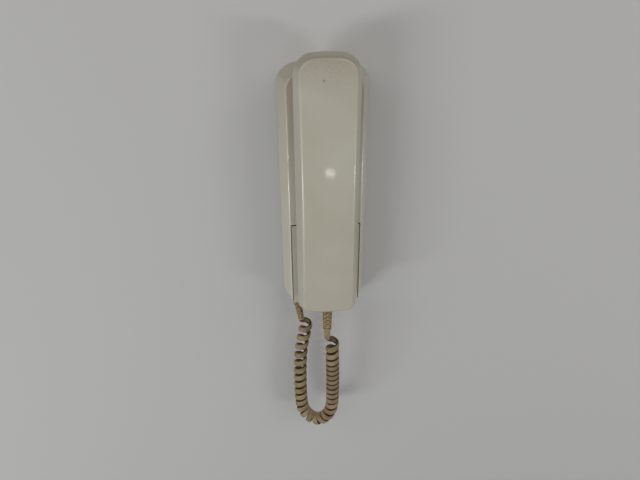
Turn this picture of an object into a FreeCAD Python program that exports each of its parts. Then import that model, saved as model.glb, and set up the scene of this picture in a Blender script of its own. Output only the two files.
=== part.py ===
# Slim wall intercom station: a base that hangs on a steel wall bracket, a handset that rests in two slanted
# wells of the base, and a curly cord between them. Sizes are in millimetres.
# The origin is the centre of the bracket's two wall screws, on the wall. X points right and Z up. The front
# faces -Y, and a "depth" is a distance from the wall towards the front.
import FreeCAD
import Part
import math
import os

# Base shell
base_width = 73.5  # at the wall
base_top = 102.0
base_bottom = -106.0
base_depth = 24.0  # from the wall to the two front ridges
ridge_width = 60.6  # across the ridges
ridge_top = 96.0
ridge_bottom = -102.5
base_top_corner = 16.0
base_bottom_corner = 9.0
ridge_top_corner = 13.0
ridge_bottom_corner = 6.0
base_top_bow = 160.0  # radius of the slightly bowed top end
base_bottom_bow = 400.0
dish = 3.0  # hollow of the front face between the ridges
base_wall = 2.2
ridge_round = 1.6
wall_gap = 0.3  # shell edge to wall
cover_clearance = 0.25  # rear cover inside the front shell

# Lower panel
panel_top = -26.7
panel_margin = 1.7  # panel edge inside the ridge
panel_seam = 0.8
ledge_width = 3.0  # strip of the front cover that backs the panel's edge
ledge_thickness = 2.0
seat_clearance = 0.1

# Wells and the handset's two caps
lift_slant = 22.0  # degrees above the horizontal, the way the handset lifts off
cap_height = 12.0
ear_cap_radius = 20.5
mouth_cap_radius = 15.0
ear_from_top = 36.0
mouth_from_bottom = 32.8
well_clearance = 0.5  # around a cap
well_seat_gap = 0.4  # behind a cap
well_wall = 2.0
cap_round = 1.5

# Handset shells
handset_length = 208.8
handset_bottom = -98.8
handset_gap = 4.0  # hollowed front of the base to the handset's rear face
handset_width = 49.8  # at the parting line
front_width = 40.6
rear_width = 40.0
rear_shell_depth = 14.0
front_shell_depth = 13.0
front_top_inset = 3.6
front_bottom_inset = 3.0
rear_end_inset = 4.0
handset_top_corner = 15.5
handset_bottom_corner = 6.0
front_top_corner = 13.0
front_bottom_corner = 4.5
handset_top_bow = 110.0
handset_bottom_bow = 140.0
handset_wall = 2.2
parting_step = 0.4  # rear shell set in behind the front shell's edge
front_round = 2.8
rear_round = 2.5
crown_along = 2000.0  # radius of the front face along the handset
crown_across = 320.0  # radius of the front face across it
gate_mark_radius = 1.1
gate_mark_depth = 0.35
gate_mark_from_top = 18.5
gate_mark_x = -3.4

# Wall bracket
wall_screw_pitch = 83.5
wall_screw_hole = 4.5
wall_screw_head_room = 12.0  # clearance hole in the rear cover
bracket_width = 46.0
bracket_height = 112.0
bracket_corner = 4.0
bracket_thickness = 1.2
window_width = 26.0
window_height = 22.0
window_z = -24.0
window_margin = 2.0  # rear cover's window beyond the bracket's
hook_width = 7.0
hook_rise = 6.0
hook_x = 14.0
upper_hook_z = 48.0
lower_hook_z = -50.0
hook_play = 0.5

# Rear cover and its screws
rear_cover_gap = 0.3  # bracket to rear cover
rear_plate = 2.0
base_screw_x = 24.0
upper_screw_z = 90.0
lower_screw_z = -80.0
base_screw_length = 11.0
boss_radius = 3.6
boss_web = 1.6
boss_gap = 0.2  # boss to rear cover
thread_clearance = 0.05
panel_screw_x = 20.0
panel_screw_z = -37.0
panel_screw_length = 10.0

# Self-tapping screws
screw_shank = 2.9
screw_head = 5.6
screw_head_height = 1.1
screw_cross = 0.8
screw_cross_length = 3.4
screw_cross_depth = 0.5

# Circuit board and what stands on it
board_room = 11.2  # from the board's front to the inside of the front cover
board_thickness = 1.6
board_width = 54.0
board_low = -9.0
board_high = 45.0
board_screw_inset = 4.0
board_post_radius = 3.0
board_screw_floor = 1.5  # left of the rear cover behind a board screw's end
capacitor_radius = 3.2
capacitor_height = 9.0
capacitor_round = 0.6
capacitor_places = [(-21.0, 22.0), (21.0, 12.0), (21.0, 20.0)]
transformer_x = -17.0
transformer_z = 7.0
transformer_width = 14.0
transformer_height = 9.0
transformer_core_length = 10.0
transformer_leg = 4.0
transformer_yoke = 2.0
winding_overhang = 2.4
winding_clearance = 0.15

# Terminal block for the wall cable
terminal_x = -24.0
terminal_top = -28.0
terminal_pitch = 6.4
terminal_count = 3
terminal_width = 10.0
terminal_height = 10.0
terminal_screw_radius = 1.9
terminal_screw_height = 3.0
terminal_well_clearance = 0.2
terminal_wire_hole = 2.8
terminal_hole_lift = 3.0

# Call-tone speaker
speaker_z = 26.0
speaker_radius = 16.0
speaker_flange = 1.5
speaker_rim = 2.6  # width of the flange
speaker_depth = 9.6
magnet_radius = 8.0
magnet_height = 3.6
basket_sheet = 0.8
cone_sheet = 0.6
cone_gap = 0.3
speaker_ring = 1.5  # moulded ring that holds the speaker
speaker_clearance = 0.2
speaker_gap = 0.3  # behind the front cover
speaker_bore = 3.2
cone_dome = 4.8
sound_slot_count = 5
sound_slot_length = 18.0
sound_slot_width = 1.6
sound_slot_pitch = 4.2

# Hook plunger, its spring and switch
plunger_z = 0.0
plunger_radius = 4.5
plunger_clearance = 0.3
plunger_travel = 5.0
plunger_flange_radius = 6.0
plunger_flange = 1.4
plunger_stop_gap = 0.4
plunger_tip_gap = 0.3
plunger_tip_round = 1.2
plunger_stem_radius = 1.8
plunger_stem = 3.2
plunger_arm_reach = 14.0
plunger_arm_width = 4.0
spring_wire = 0.5
spring_radius = 3.2
spring_turns = 3
spring_seat = 0.15
switch_width = 6.0
switch_length = 13.0
switch_height = 3.0
switch_button_radius = 1.2
switch_gap = 0.3

# Receiver and microphone inside the handset
receiver_radius = 15.0
receiver_back_step = 3.0
receiver_height = 11.0
gasket_thickness = 1.2
gasket_width = 3.5
pad_thickness = 1.6
pad_radius = 12.0
rib_thickness = 2.0
rib_spread = 12.0
rib_gap = 0.2
ear_hole_radius = 1.1
ear_hole_circle = 7.0
ear_hole_count = 6
microphone_radius = 4.85
microphone_height = 6.5
holder_wall = 2.2
holder_floor = 1.5
holder_clearance = 0.05
socket_wall = 1.6
socket_height = 6.0
socket_clearance = 0.1
mouth_hole_radius = 0.9
mouth_hole_circle = 3.0
mouth_hole_count = 5
handset_screw_z = [38.0, -30.0]
handset_boss_radius = 3.8
handset_boss_height = 6.0
handset_screw_sink = 3.0
handset_screw_room = 0.3
handset_screw_length = 12.0
lead_radius = 0.9
lead_spread = 1.8  # each lead beside the middle at the cord's end
lead_lift = 1.8  # above the rear shell's inside and beside its bosses
lead_bend = 6.0
lead_turn = 0.45  # part of the shorter run that a bend of a lead takes

# Strain reliefs at the two ends of the cord, the base's slimmer
boot_length = 22.0
boot_wall = 2.2  # wall between the collar and the tail
boot_neck_radius = 3.0
boot_collar_radius = 4.0
boot_collar = 1.6
boot_clearance = 0.2
handset_boot_top = 4.3  # radius
handset_boot_tip = 3.6
base_boot_top = 3.5
base_boot_tip = 2.8
boot_shoulder = 1.6  # smooth part before the first slots
boot_slot_rows = 9
boot_slot_width = 0.9
boot_slot_depth = 1.1
boot_slot_bridge = 1.8  # left between slots
boot_tip_length = 2.4  # smooth part after the last slots
base_boot_x = -25.8
base_boot_depth = 13.5
base_boot_lean = 10.5  # degrees towards the middle
base_boot_tilt = 1.5  # degrees towards the front

# Curly cord: the coil's axis hangs in a U from the base's boot to the handset's
cord_diameter = 3.6
coil_radius = 4.6  # coil axis to the middle of the cord
coil_turns = 30
coil_pitches = [8.3, 8.5, 7.3, 7.4, 6.9, 5.4, 13.0]  # at equal steps from the base to the handset
base_straight = 1.0  # cord before it bends into the coil
handset_straight = 6.5
base_run_in = 9.5  # length over which the cord turns into the coil
handset_run_in = 9.5
first_run = 4.5
last_run = 9.5
axis_bend = 0.49  # part of the shorter run that a bend of the axis takes
coil_axis_points = [  # x, depth, z
    (-20.3, 17.9, -141.0),
    (-22.8, 18.4, -153.0),
    (-24.2, 19.2, -170.0),
    (-24.6, 20.3, -190.0),
    (-24.6, 21.3, -207.0),
    (-24.5, 22.6, -224.9),
    (-21.0, 23.9, -231.1),
    (-14.8, 25.8, -234.6),
    (-7.8, 28.0, -234.6),
    (-1.6, 30.2, -231.1),
    (2.8, 32.5, -223.3),
    (5.2, 34.7, -212.0),
    (5.4, 36.6, -196.0),
    (5.4, 37.9, -178.0),
    (4.9, 38.8, -158.0),
    (4.6, 39.1, -143.0),
]

# Depths that follow from the sizes above
rear_plate_back = bracket_thickness + rear_cover_gap
rear_plate_front = rear_plate_back + rear_plate
dish_floor = base_depth - dish
dish_radius = (ridge_width ** 2 / 4 + dish ** 2) / (2 * dish)
front_inside = dish_floor - base_wall
board_front = front_inside - board_room
board_back = board_front - board_thickness
board_screw_length = board_front - rear_plate_back - board_screw_floor
handset_rear = dish_floor + handset_gap
parting = handset_rear + rear_shell_depth
handset_front = parting + front_shell_depth
cap_face = handset_rear - cap_height
well_floor = cap_face - well_seat_gap
handset_top = handset_bottom + handset_length
handset_middle = handset_bottom + handset_length / 2
ear_z = handset_top - ear_from_top
mouth_z = handset_bottom + mouth_from_bottom

forward = FreeCAD.Vector(0, -1, 0)
rearward = FreeCAD.Vector(0, 1, 0)
up = FreeCAD.Vector(0, 0, 1)
overcut = 2.0  # how far a cutting body stands past the surface it cuts
least_corner = 0.8


def point(x, depth, z):
    return FreeCAD.Vector(x, -depth, z)


def block(x_low, x_high, depth_low, depth_high, z_low, z_high):
    corner = point(x_low, depth_high, z_low)
    return Part.makeBox(x_high - x_low, depth_high - depth_low, z_high - z_low, corner)


def post(x, z, radius, depth_low, depth_high):
    return Part.makeCylinder(radius, depth_high - depth_low, point(x, depth_low, z), forward)


def turned(profile, x, z):
    """Solid of revolution about an axis square to the wall; the profile is (radius, depth) pairs."""
    corners = [point(x + radius, depth, z) for radius, depth in profile]
    face = Part.Face(Part.makePolygon(corners + corners[:1]))
    return face.revolve(point(x, 0, z), rearward, 360)


def fused(shapes):
    return shapes[0].multiFuse(shapes[1:]).removeSplitter()


def screw(x, z, seat_depth, direction, length):
    """Pan-head screw whose head sits on seat_depth, with its shank along direction and a cross in its head."""
    seat = point(x, seat_depth, z)
    head = Part.makeCylinder(screw_head / 2, screw_head_height, seat, -direction)
    shank = Part.makeCylinder(screw_shank / 2, length, seat, direction)
    top = seat - direction * screw_head_height
    reach = screw_cross_length / 2
    solid = head.fuse(shank)
    for half_x, half_z in ((reach, screw_cross / 2), (screw_cross / 2, reach)):
        low = FreeCAD.Vector(x - half_x, top.y - screw_cross_depth, z - half_z)
        solid = solid.cut(Part.makeBox(2 * half_x, 2 * screw_cross_depth, 2 * half_z, low))
    return solid.removeSplitter()


def arc_from(start, tangent, end):
    """Arc that leaves start along tangent and ends at end, or a straight edge where they are in line."""
    chord = end - start
    along = chord.dot(tangent)
    side = chord - tangent * along
    if side.Length < 1e-6:
        return Part.LineSegment(start, end).toShape()
    radius = chord.Length ** 2 / (2 * side.Length)
    half = math.atan2(side.Length, along)
    side.normalize()
    middle = start + tangent * (radius * math.sin(half)) + side * (radius * (1 - math.cos(half)))
    return Part.Arc(start, middle, end).toShape()


def biarc(start, start_tangent, end, end_tangent):
    """Two arcs that join two points with given directions."""
    gap = end - start
    both = start_tangent + end_tangent
    spread = 2 * (1 - start_tangent.dot(end_tangent))
    reach = gap.dot(both)
    if spread < 1e-9:
        return [Part.LineSegment(start, end).toShape()]
    handle = (math.sqrt(reach ** 2 + spread * gap.dot(gap)) - reach) / spread
    joint = (start + start_tangent * handle + end - end_tangent * handle) * 0.5
    second = arc_from(end, -end_tangent, joint)
    second.reverse()
    return [arc_from(start, start_tangent, joint), second]


def round_tube(edges, radius):
    """Round tube along tangent edges, closed at both ends."""
    first = edges[0]
    start = first.valueAt(first.FirstParameter)
    direction = first.tangentAt(first.FirstParameter)
    ring = Part.Wire([Part.makeCircle(radius, start, direction)])
    return Part.Wire(edges).makePipeShell([ring], True, False)


def rounded_route(points, share):
    """Straight runs joined by tangent arcs that take share of the shorter run; also the arcs' radii."""
    edges, radii = [], []
    here = points[0]
    for before, corner, after in zip(points, points[1:], points[2:]):
        arriving = (corner - before).normalize()
        leaving = (after - corner).normalize()
        reach = share * min((corner - before).Length, (after - corner).Length)
        start = corner - arriving * reach
        end = corner + leaving * reach
        radii.append(reach / math.tan(arriving.getAngle(leaving) / 2))
        edges.append(Part.LineSegment(here, start).toShape())
        edges.append(arc_from(start, arriving, end))
        here = end
    edges.append(Part.LineSegment(here, points[-1]).toShape())
    return edges, radii


def least_self_gap(points, diameter, skip):
    """Least free distance between stretches of a tube that are more than skip points apart along it."""
    nearest = min(
        (first - second).Length
        for index, first in enumerate(points)
        for second in points[index + skip:]
    )
    return nearest - diameter


def outline(form, depth):
    """Closed outline at one depth: straight sides, round corners and slightly bowed ends."""
    half_width, top, bottom, top_corner, bottom_corner, top_bow, bottom_bow = form

    def corner(end, radius, bow, sign):
        across = half_width - radius
        bow_centre = end - sign * bow
        height = bow_centre + sign * math.sqrt((bow - radius) ** 2 - across ** 2)
        angle = math.atan2(abs(height - bow_centre), across)
        on_end = (bow * math.cos(angle), bow_centre + sign * bow * math.sin(angle))
        middle = (across + radius * math.cos(angle / 2), height + sign * radius * math.sin(angle / 2))
        return (half_width, height), middle, on_end

    def place(pair, side):
        return point(side * pair[0], depth, pair[1])

    top_side, top_middle, top_end = corner(top, top_corner, top_bow, 1)
    low_side, low_middle, low_end = corner(bottom, bottom_corner, bottom_bow, -1)
    return Part.Wire([
        Part.LineSegment(place(low_side, 1), place(top_side, 1)).toShape(),
        Part.Arc(place(top_side, 1), place(top_middle, 1), place(top_end, 1)).toShape(),
        Part.Arc(place(top_end, 1), point(0, depth, top), place(top_end, -1)).toShape(),
        Part.Arc(place(top_end, -1), place(top_middle, -1), place(top_side, -1)).toShape(),
        Part.LineSegment(place(top_side, -1), place(low_side, -1)).toShape(),
        Part.Arc(place(low_side, -1), place(low_middle, -1), place(low_end, -1)).toShape(),
        Part.Arc(place(low_end, -1), point(0, depth, bottom), place(low_end, 1)).toShape(),
        Part.Arc(place(low_end, 1), place(low_middle, 1), place(low_side, 1)).toShape(),
    ])


def form_at(first, first_depth, second, second_depth, depth):
    share = (depth - first_depth) / (second_depth - first_depth)
    return [a + (b - a) * share for a, b in zip(first, second)]


def shrunk(form, inset):
    half_width, top, bottom, top_corner, bottom_corner, *bows = form
    corners = [max(corner - inset, least_corner) for corner in (top_corner, bottom_corner)]
    return [half_width - inset, top - inset, bottom + inset, *corners, *[bow - inset for bow in bows]]


def base_form(depth):
    bows = [base_top_bow, base_bottom_bow]
    at_wall = [base_width / 2, base_top, base_bottom, base_top_corner, base_bottom_corner, *bows]
    at_ridge = [ridge_width / 2, ridge_top, ridge_bottom, ridge_top_corner, ridge_bottom_corner, *bows]
    return form_at(at_wall, wall_gap, at_ridge, base_depth, depth)


def base_body(inset, depth_low, depth_high):
    ends = [outline(shrunk(base_form(depth), inset), depth) for depth in (depth_low, depth_high)]
    return Part.makeLoft(ends, True, True)


def dish_bar(extra):
    """Upright round bar whose surface hollows the base's front; extra thickens it for faces further in."""
    height = base_top - base_bottom + 2 * overcut
    low = point(0, dish_floor + dish_radius, base_bottom - overcut)
    return Part.makeCylinder(dish_radius + extra, height, low, up)


def front_depth(x, inset):
    """Depth of the hollowed front at x, or of the face that lies inset behind it."""
    return dish_floor + dish_radius - math.sqrt((dish_radius + inset) ** 2 - x ** 2)


def slanted(z_at_rear, radius, depth_low, depth_high):
    """Round bar along the lift direction; z_at_rear is its height at the handset's rear face."""
    rise = math.tan(math.radians(lift_slant))
    low = point(0, depth_low, z_at_rear + (depth_low - handset_rear) * rise)
    high = point(0, depth_high, z_at_rear + (depth_high - handset_rear) * rise)
    disc = Part.Face(Part.Wire([Part.makeCircle(radius, low, forward)]))
    return disc.extrude(high - low)


def slant_height(z_at_rear, depth):
    return z_at_rear + (depth - handset_rear) * math.tan(math.radians(lift_slant))


def base_outer():
    """The base's outer body, filled, with its hollowed front and rounded ridges."""
    body = base_body(0, wall_gap, base_depth + overcut).cut(dish_bar(0))
    front = max(body.Faces, key=lambda face: face.Area if isinstance(face.Surface, Part.Cylinder) else 0)
    return body.makeFillet(ridge_round, front.OuterWire.Edges)


def wall_middle():
    """The base's body up to the middle of its walls, where the pieces inside them end."""
    return base_body(base_wall / 2, wall_gap, base_depth + overcut).cut(dish_bar(base_wall / 2))


def well_cup(z_at_rear, cap_radius):
    """Walls and floor around one cap's well, up to the base's front wall."""
    radius = cap_radius + well_clearance + well_wall
    return slanted(z_at_rear, radius, well_floor - well_wall, handset_rear).common(wall_middle())


def well_hollow(z_at_rear, cap_radius):
    return slanted(z_at_rear, cap_radius + well_clearance, well_floor, handset_rear + overcut)


def panel_opening(edge_gap, plate):
    """Space of the lower panel: the front skin below the seam, grown by edge_gap and plate thickness."""
    half = ridge_width / 2 - panel_margin + edge_gap
    space = block(-half, half, 0, base_depth + overcut, base_bottom - overcut, panel_top + edge_gap)
    return space.common(dish_bar(plate))


def panel_ledge():
    """Strip behind the panel's edges, joined to the front cover."""
    half = ridge_width / 2 - panel_margin - ledge_width
    top = panel_top - ledge_width
    low = ridge_bottom + base_wall + ledge_width
    skin = dish_bar(base_wall + ledge_thickness).common(wall_middle())
    area = block(-base_width, base_width, 0, base_depth + overcut, base_bottom, panel_top + ledge_width)
    return skin.common(area).cut(block(-half, half, 0, base_depth + overcut, low, top))


def base_boot_place():
    """Where the cord's boot leaves the base's lower end, and the way it points."""
    low = base_form(base_boot_depth)[2]
    bow_rise = base_bottom_bow - math.sqrt(base_bottom_bow ** 2 - base_boot_x ** 2)
    lean, tilt = math.radians(base_boot_lean), math.radians(base_boot_tilt)
    direction = FreeCAD.Vector(math.sin(lean), -math.sin(tilt), -math.cos(lean)).normalize()
    return point(base_boot_x, base_boot_depth, low + bow_rise), direction


def handset_boot_place():
    return point(0, parting, handset_bottom), FreeCAD.Vector(0, 0, -1)


def boot_seat(place, direction, top_radius):
    """Hole for a boot's neck through a wall, with flats for its collar inside and its tail outside."""
    reach = boot_collar + overcut
    inner = place - direction * boot_wall
    return [
        Part.makeCylinder(boot_neck_radius + boot_clearance, boot_wall + reach, inner, direction),
        Part.makeCylinder(boot_collar_radius + boot_clearance, reach, inner, -direction),
        Part.makeCylinder(top_radius + boot_clearance, reach, place, direction),
    ]


def base_front_cover():
    outer = base_outer()
    hollow = base_body(base_wall, wall_gap - overcut, base_depth + overcut).cut(dish_bar(base_wall))
    shell = outer.cut(hollow)
    pieces = [shell, well_cup(ear_z, ear_cap_radius), panel_ledge()]
    core = wall_middle()
    boss_start = rear_plate_front + boss_gap
    lower_boss_end = front_inside - ledge_thickness
    for x in (-base_screw_x, base_screw_x):
        pieces.append(post(x, upper_screw_z, boss_radius, boss_start, base_depth).common(core))
        pieces.append(post(x, lower_screw_z, boss_radius, boss_start, lower_boss_end))
        wall_side = math.copysign(base_width / 2, x)
        web = block(min(x, wall_side), max(x, wall_side), boss_start, lower_boss_end,
                    lower_screw_z - boss_web / 2, lower_screw_z + boss_web / 2)
        pieces.append(web.common(core))
    ring_radius = speaker_radius + speaker_clearance
    ring = post(0, speaker_z, ring_radius + speaker_ring, speaker_flange_back(), dish_floor).common(core)
    pieces.append(ring.cut(post(0, speaker_z, ring_radius, 0, base_depth)))
    cover = fused(pieces)
    cuts = [well_hollow(ear_z, ear_cap_radius), panel_opening(panel_seam, base_wall + seat_clearance)]
    for x in (-base_screw_x, base_screw_x):
        for z in (upper_screw_z, lower_screw_z):
            pilot_end = rear_plate_back + base_screw_length + thread_clearance
            cuts.append(post(x, z, screw_shank / 2 + thread_clearance, 0, pilot_end))
    for index in range(sound_slot_count):
        z = speaker_z + (index - (sound_slot_count - 1) / 2) * sound_slot_pitch
        cuts.append(block(-sound_slot_length / 2, sound_slot_length / 2, front_inside - overcut, base_depth,
                          z - sound_slot_width / 2, z + sound_slot_width / 2))
    cuts.append(post(0, plunger_z, plunger_radius + plunger_clearance, front_inside - overcut, base_depth))
    cuts += boot_seat(*base_boot_place(), base_boot_top)
    return cover.cut(cuts)


def panel_screw_seat():
    return front_depth(panel_screw_x - screw_head / 2, 0) - screw_head_height


def lower_panel():
    plate = panel_opening(0, base_wall).common(base_outer())
    panel = fused([plate, well_cup(mouth_z, mouth_cap_radius)])
    seat = panel_screw_seat()
    head_room = post(panel_screw_x, panel_screw_z, screw_head / 2 + thread_clearance, seat, base_depth)
    shank = post(panel_screw_x, panel_screw_z, screw_shank / 2 + thread_clearance, 0, base_depth)
    return panel.cut([well_hollow(mouth_z, mouth_cap_radius), head_room, shank])


def panel_screw():
    return screw(panel_screw_x, panel_screw_z, panel_screw_seat(), rearward, panel_screw_length)


def wall_bracket():
    half_w, half_h = bracket_width / 2, bracket_height / 2
    plate = block(-half_w, half_w, 0, bracket_thickness, -half_h, half_h)
    upright = [edge for edge in plate.Edges if abs(edge.tangentAt(edge.FirstParameter).y) > 0.9]
    plate = plate.makeFillet(bracket_corner, upright)
    lip_start = rear_plate_front + rear_cover_gap
    pieces = [plate]
    for z in (upper_hook_z, lower_hook_z):
        for x in (-hook_x, hook_x):
            low, high = x - hook_width / 2, x + hook_width / 2
            lip_end = lip_start + bracket_thickness
            pieces.append(block(low, high, 0, lip_end, z, z + bracket_thickness))
            pieces.append(block(low, high, lip_start, lip_end, z, z + hook_rise))
    bracket = fused(pieces)
    cuts = [block(-window_width / 2, window_width / 2, -overcut, bracket_thickness + overcut,
                  window_z - window_height / 2, window_z + window_height / 2)]
    for z in (-wall_screw_pitch / 2, wall_screw_pitch / 2):
        cuts.append(post(0, z, wall_screw_hole / 2, -overcut, bracket_thickness + overcut))
    return bracket.cut(cuts)


def board_screw_places():
    heights = (board_low + board_screw_inset, board_high - board_screw_inset)
    across = board_width / 2 - board_screw_inset
    return [(x, z) for x in (-across, across) for z in heights]


def base_rear_cover():
    inset = base_wall + cover_clearance
    pieces = [base_body(inset, rear_plate_back, rear_plate_front)]
    for x, z in board_screw_places():
        pieces.append(post(x, z, board_post_radius, rear_plate_back, board_back))
    panel_boss_end = front_depth(panel_screw_x - boss_radius, base_wall) - seat_clearance
    pieces.append(post(panel_screw_x, panel_screw_z, boss_radius, rear_plate_back, panel_boss_end))
    cover = fused(pieces)
    half_w = window_width / 2 + window_margin
    half_h = window_height / 2 + window_margin
    cuts = [block(-half_w, half_w, 0, rear_plate_front + overcut, window_z - half_h, window_z + half_h)]
    for z in (-wall_screw_pitch / 2, wall_screw_pitch / 2):
        cuts.append(post(0, z, wall_screw_head_room / 2, 0, rear_plate_front + overcut))
    for z in (upper_hook_z, lower_hook_z):
        for x in (-hook_x, hook_x):
            half = hook_width / 2 + hook_play
            cuts.append(block(x - half, x + half, 0, rear_plate_front + overcut, z - hook_rise - hook_play,
                              z + bracket_thickness + seat_clearance))
    for x in (-base_screw_x, base_screw_x):
        for z in (upper_screw_z, lower_screw_z):
            cuts.append(post(x, z, screw_shank / 2 + thread_clearance, 0, rear_plate_front + overcut))
    for x, z in board_screw_places():
        pilot_start = board_front - board_screw_length - thread_clearance
        cuts.append(post(x, z, screw_shank / 2 + thread_clearance, pilot_start, board_front))
    pilot = screw_shank / 2 + thread_clearance
    pilot_start = panel_screw_seat() - panel_screw_length - thread_clearance
    cuts.append(post(panel_screw_x, panel_screw_z, pilot, pilot_start, base_depth))
    return cover.cut(cuts)


def base_screws():
    places = [(x, z) for x in (-base_screw_x, base_screw_x) for z in (upper_screw_z, lower_screw_z)]
    return Part.makeCompound([screw(x, z, rear_plate_back, forward, base_screw_length) for x, z in places])


def circuit_board():
    board = block(-board_width / 2, board_width / 2, board_back, board_front, board_low, board_high)
    radius = screw_shank / 2 + thread_clearance
    return board.cut([post(x, z, radius, 0, board_front + overcut) for x, z in board_screw_places()])


def board_screws():
    places = board_screw_places()
    return Part.makeCompound([screw(x, z, board_front, rearward, board_screw_length) for x, z in places])


def capacitors():
    cans = []
    for x, z in capacitor_places:
        can = post(x, z, capacitor_radius, board_front, board_front + capacitor_height)
        top = [edge for edge in can.Edges if edge.Closed and edge.CenterOfMass.y < -board_front - overcut]
        cans.append(can.makeFillet(capacitor_round, top))
    return Part.makeCompound(cans)


def transformer():
    """Laminated core with two windows, and the winding round its middle leg."""
    x, z = transformer_x, transformer_z
    low, high = board_front, board_front + transformer_height
    half_w, half_l = transformer_width / 2, transformer_core_length / 2
    half_leg = transformer_leg / 2
    window_low, window_high = low + transformer_yoke, high - transformer_yoke
    core = block(x - half_w, x + half_w, low, high, z - half_l, z + half_l)
    for side in (-1, 1):
        near, far = sorted((x + side * half_leg, x + side * (half_w - transformer_yoke)))
        core = core.cut(block(near, far, window_low, window_high, z - half_l - overcut, z + half_l + overcut))
    gap = winding_clearance
    half_wind = half_w - transformer_yoke - gap
    reach = half_l + winding_overhang
    winding = block(x - half_wind, x + half_wind, window_low + gap, window_high - gap, z - reach, z + reach)
    side, end = half_leg + gap, half_l + gap
    return core, winding.cut(block(x - side, x + side, low, high, z - end, z + end))


def terminal_places():
    return [terminal_top - terminal_pitch * (index + 0.5) for index in range(terminal_count)]


def terminal_block():
    low = rear_plate_front
    high = low + terminal_height
    half = terminal_width / 2
    body = block(terminal_x - half, terminal_x + half, low, high,
                 terminal_top - terminal_pitch * terminal_count, terminal_top)
    seat = high - terminal_screw_height
    cuts = []
    for z in terminal_places():
        cuts.append(post(terminal_x, z, terminal_screw_radius + terminal_well_clearance, seat, high + overcut))
        hole = low + terminal_hole_lift
        cuts.append(block(terminal_x, terminal_x + half + overcut, hole, hole + terminal_wire_hole,
                          z - terminal_wire_hole / 2, z + terminal_wire_hole / 2))
    return body.cut(cuts)


def terminal_screws():
    high = rear_plate_front + terminal_height
    seat = high - terminal_screw_height
    heads = []
    for z in terminal_places():
        head = post(terminal_x, z, terminal_screw_radius, seat, high - screw_cross_depth)
        slot = block(terminal_x - terminal_pitch, terminal_x + terminal_pitch,
                     high - 2 * screw_cross_depth, high, z - screw_cross / 2, z + screw_cross / 2)
        heads.append(head.cut(slot))
    return Part.makeCompound(heads)


def speaker_face():
    return front_inside - speaker_gap


def speaker_flange_back():
    return speaker_face() - speaker_flange


def speaker():
    """Frame with flange and basket, paper cone with its dome, and magnet."""
    face, flange_back = speaker_face(), speaker_flange_back()
    back = face - speaker_depth
    magnet_front = back + magnet_height
    rim = speaker_radius - speaker_rim
    neck = magnet_radius + basket_sheet
    frame = turned([
        (speaker_radius, face), (speaker_radius, flange_back), (rim + basket_sheet, flange_back),
        (neck, magnet_front), (speaker_bore, magnet_front), (speaker_bore, magnet_front + basket_sheet),
        (magnet_radius, magnet_front + basket_sheet), (rim, flange_back), (rim, face),
    ], 0, speaker_z)
    magnet = post(0, speaker_z, magnet_radius, back, magnet_front)
    edge = rim - cone_gap
    cone_back = magnet_front + basket_sheet + cone_gap + cone_sheet
    cone = turned([
        (0, cone_back + cone_sheet), (cone_dome, cone_back), (edge - cone_sheet, flange_back),
        (edge, flange_back), (edge, flange_back + cone_sheet), (edge - cone_sheet, flange_back + cone_sheet),
        (cone_dome, cone_back + cone_sheet), (0, cone_back + 2 * cone_sheet),
    ], 0, speaker_z)
    return frame, cone, magnet


def plunger_flange_front():
    return front_inside - plunger_stop_gap - plunger_travel


def hook_plunger():
    """Button with a retaining flange, the arm that works the switch, and the stem inside the spring."""
    flange_front = plunger_flange_front()
    flange_back = flange_front - plunger_flange
    tip = handset_rear - plunger_tip_gap
    button = post(0, plunger_z, plunger_radius, flange_back, tip)
    rim = [edge for edge in button.Edges if edge.Closed and edge.CenterOfMass.y < -tip + plunger_tip_round / 2]
    button = button.makeFillet(plunger_tip_round, rim)
    return fused([
        button,
        post(0, plunger_z, plunger_flange_radius, flange_back, flange_front),
        post(0, plunger_z, plunger_stem_radius, flange_back - plunger_stem, flange_back),
        block(0, plunger_arm_reach, flange_back, flange_front,
              plunger_z - plunger_arm_width / 2, plunger_z + plunger_arm_width / 2),
    ])


def hook_switch():
    top = plunger_flange_front() - plunger_flange - switch_gap
    x = plunger_arm_reach - switch_width / 2
    body = block(x - switch_width / 2, x + switch_width / 2, board_front, board_front + switch_height,
                 plunger_z - switch_length / 2, plunger_z + switch_length / 2)
    return fused([body, post(x, plunger_z, switch_button_radius, board_front, top)])


def hook_spring():
    """Wound wire between the board and the plunger's flange."""
    low = board_front + spring_wire / 2 + spring_seat
    high = plunger_flange_front() - plunger_flange - spring_wire / 2 - spring_seat
    steps = 4 * spring_turns
    turn = 2 * math.pi

    def place(share):
        angle = turn * spring_turns * share
        return point(spring_radius * math.cos(angle), low + (high - low) * share,
                     plunger_z + spring_radius * math.sin(angle))

    def heading(share):
        angle = turn * spring_turns * share
        speed = turn * spring_turns * spring_radius
        return point(-speed * math.sin(angle), high - low, speed * math.cos(angle)).normalize()

    edges = []
    for index in range(steps):
        start, end = index / steps, (index + 1) / steps
        edges += biarc(place(start), heading(start), place(end), heading(end))
    samples = [place(index / (6 * steps)) for index in range(6 * steps + 1)]
    print("spring gap to itself %.2f" % least_self_gap(samples, spring_wire, 14))
    return round_tube(edges, spring_wire / 2)


def handset_parting_form():
    ends = [handset_top_corner, handset_bottom_corner, handset_top_bow, handset_bottom_bow]
    return [handset_width / 2, handset_top, handset_bottom, *ends]


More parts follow.
